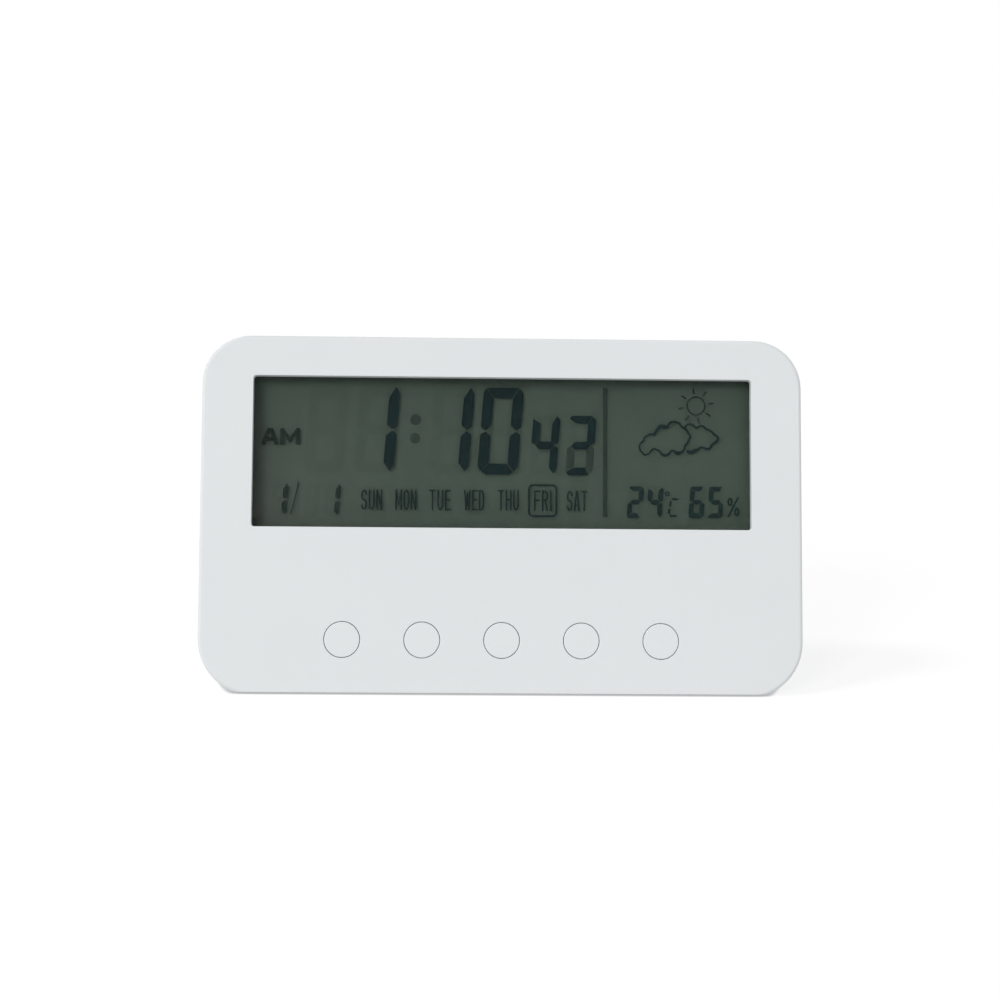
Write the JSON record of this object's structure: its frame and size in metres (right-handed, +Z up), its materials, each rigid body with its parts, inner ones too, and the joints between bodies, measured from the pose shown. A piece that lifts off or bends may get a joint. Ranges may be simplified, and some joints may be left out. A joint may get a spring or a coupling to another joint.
{
  "type": "digital clock",
  "caption": "Desk digital clock: wedge case leaning back, wide liquid crystal display, a row of round push buttons below it and a hinged battery door behind.",
  "frame": {"origin": "on the surface the clock stands on, at the middle of its footprint's box", "axes": "+Z up, +X to the right of a person facing the display, the display looks along -Y and up"},
  "size_m": [0.1352, 0.046, 0.0779],
  "materials": {
    "case_white": "fine matte grain",
    "clear_window": "clear moulded",
    "display_glass": "polished",
    "display_green": "satin reflector",
    "frame_plastic": "as moulded",
    "foam": "open foam",
    "zebra_rubber": "moulded",
    "board_green": "solder mask",
    "black_resin": "moulded",
    "switch_black": "moulded",
    "plunger_plastic": "moulded",
    "steel": "nickel plated",
    "spring_steel": "nickel plated",
    "battery_jacket": "printed film, no print",
    "capacitor_sleeve": "shrunk sleeve",
    "sensor_blue": "moulded",
    "lead_red": "insulation",
    "lead_black": "insulation",
    "foot_rubber": "moulded"
  },
  "bodies": {
    "case": {"front_cover": "case_white", "rear_cover": "case_white", "display_window": "clear_window", "foot_pad_1": "foot_rubber", "foot_pad_2": "foot_rubber", "foot_pad_3": "foot_rubber", "foot_pad_4": "foot_rubber", "front_polarizer": "display_glass", "front_glass": "display_glass", "rear_glass": "display_glass", "display_reflector": "display_green", "display_frame": "frame_plastic", "display_pad": "foam", "zebra_strip": "zebra_rubber", "main_board": "board_green", "switch_body_1": "switch_black", "switch_body_2": "switch_black", "switch_body_3": "switch_black", "switch_body_4": "switch_black", "switch_body_5": "switch_black", "case_screw_1": "steel", "case_screw_2": "steel", "case_screw_3": "steel", "case_screw_4": "steel", "board_screw_1": "steel", "board_screw_2": "steel", "board_screw_3": "steel", "board_screw_4": "steel", "chip_blob": "black_resin", "crystal_can": "steel", "capacitor_1": "capacitor_sleeve", "capacitor_2": "capacitor_sleeve", "humidity_sensor": "sensor_blue", "thermistor": "black_resin", "piezo_buzzer": "black_resin", "battery_1": "battery_jacket", "battery_2": "battery_jacket", "contact_spring_1": "spring_steel", "contact_spring_2": "spring_steel", "contact_bridge": "spring_steel", "contact_plate_1": "spring_steel", "contact_plate_2": "spring_steel", "battery_lead_red": "lead_red", "battery_lead_black": "lead_black", "buzzer_lead_red": "lead_red", "buzzer_lead_black": "lead_black"},
    "button_1": {"button_1": "case_white", "switch_plunger_1": "plunger_plastic"},
    "button_2": {"button_2": "case_white", "switch_plunger_2": "plunger_plastic"},
    "button_3": {"button_3": "case_white", "switch_plunger_3": "plunger_plastic"},
    "button_4": {"button_4": "case_white", "switch_plunger_4": "plunger_plastic"},
    "button_5": {"button_5": "case_white", "switch_plunger_5": "plunger_plastic"},
    "battery_door": {"battery_door": "case_white"}
  },
  "joints": [
    {"name": "button_1_press", "type": "slide", "parent": "case", "child": "button_1", "axis": [0, 0.9703, -0.2419], "range_m": [0, 0.0003], "stiffness_N_per_m": 800, "springref_m": -0.0015},
    {"name": "button_2_press", "type": "slide", "parent": "case", "child": "button_2", "axis": [0, 0.9703, -0.2419], "range_m": [0, 0.0003], "stiffness_N_per_m": 800, "springref_m": -0.0015},
    {"name": "button_3_press", "type": "slide", "parent": "case", "child": "button_3", "axis": [0, 0.9703, -0.2419], "range_m": [0, 0.0003], "stiffness_N_per_m": 800, "springref_m": -0.0015},
    {"name": "button_4_press", "type": "slide", "parent": "case", "child": "button_4", "axis": [0, 0.9703, -0.2419], "range_m": [0, 0.0003], "stiffness_N_per_m": 800, "springref_m": -0.0015},
    {"name": "button_5_press", "type": "slide", "parent": "case", "child": "button_5", "axis": [0, 0.9703, -0.2419], "range_m": [0, 0.0003], "stiffness_N_per_m": 800, "springref_m": -0.0015},
    {"name": "battery_door_hinge", "type": "hinge", "parent": "case", "child": "battery_door", "pos_m": [0, 0.01986, 0.0175], "axis": [-1, 0, 0], "range_deg": [0, 90]}
  ]
}
